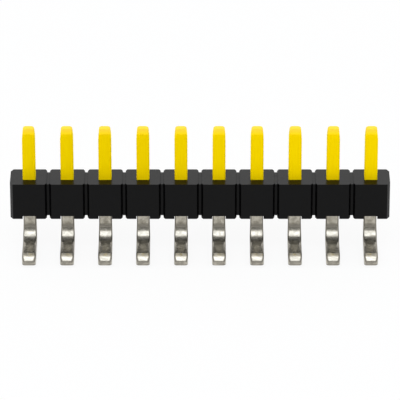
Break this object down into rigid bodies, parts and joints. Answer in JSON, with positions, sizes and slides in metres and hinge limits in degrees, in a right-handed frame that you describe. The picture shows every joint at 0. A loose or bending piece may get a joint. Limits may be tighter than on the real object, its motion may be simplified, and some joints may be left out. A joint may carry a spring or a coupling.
{
  "type": "pin header strip",
  "caption": "Surface-mount pin header strip: a row of square gold-plated posts in a grooved black insulator, with bent tinned feet on one side.",
  "frame": {"origin": "centre of the overall box in plan, on the plane of the feet's undersides", "axes": "+X along the row, +Z along the posts away from the board, -Y the side that the feet point to"},
  "size_m": [0.0126, 0.0022, 0.0044],
  "materials": {
    "insulator_resin": "glass-filled thermoplastic, moulded, semi-gloss black",
    "contact_plating": "brass wire, gold plated on the post and tin plated on the tail"
  },
  "bodies": {
    "root": {"insulator": "insulator_resin", "contact_1": "contact_plating", "contact_2": "contact_plating", "contact_3": "contact_plating", "contact_4": "contact_plating", "contact_5": "contact_plating", "contact_6": "contact_plating", "contact_7": "contact_plating", "contact_8": "contact_plating", "contact_9": "contact_plating", "contact_10": "contact_plating"}
  },
  "joints": []
}
